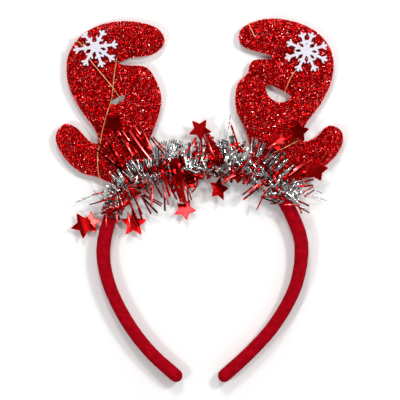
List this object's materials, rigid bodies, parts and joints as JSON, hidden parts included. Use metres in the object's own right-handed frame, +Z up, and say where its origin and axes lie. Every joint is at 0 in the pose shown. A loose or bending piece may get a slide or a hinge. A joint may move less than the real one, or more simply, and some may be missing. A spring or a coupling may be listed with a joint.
{
  "type": "reindeer antler headband",
  "caption": "Velvet headband with padded red antlers in metallic knit, felt snowflakes and a tinsel garland with foil stars, lying flat on its back.",
  "frame": {"origin": "middle of the outline of the band and the antlers, on the surface that the headband lies on", "axes": "+X to the right, +Y from the band's tips to the antlers, +Z up from the surface, towards the snowflakes"},
  "size_m": [0.1874, 0.2366, 0.0175],
  "materials": {
    "velvet": "matte",
    "metallic_knit": "satin",
    "tinsel_foil": "polished",
    "felt": "matte",
    "star_foil": "polished"
  },
  "bodies": {
    "root": {"headband": "velvet", "antler_left": "metallic_knit", "antler_right": "metallic_knit", "garland": "tinsel_foil", "snowflake_left": "felt", "snowflake_right": "felt", "star_1": "star_foil", "star_2": "star_foil", "star_3": "star_foil", "star_4": "star_foil", "star_5": "star_foil", "star_6": "star_foil", "star_7": "star_foil", "star_8": "star_foil", "star_9": "star_foil", "star_10": "star_foil", "star_11": "star_foil"}
  },
  "joints": []
}
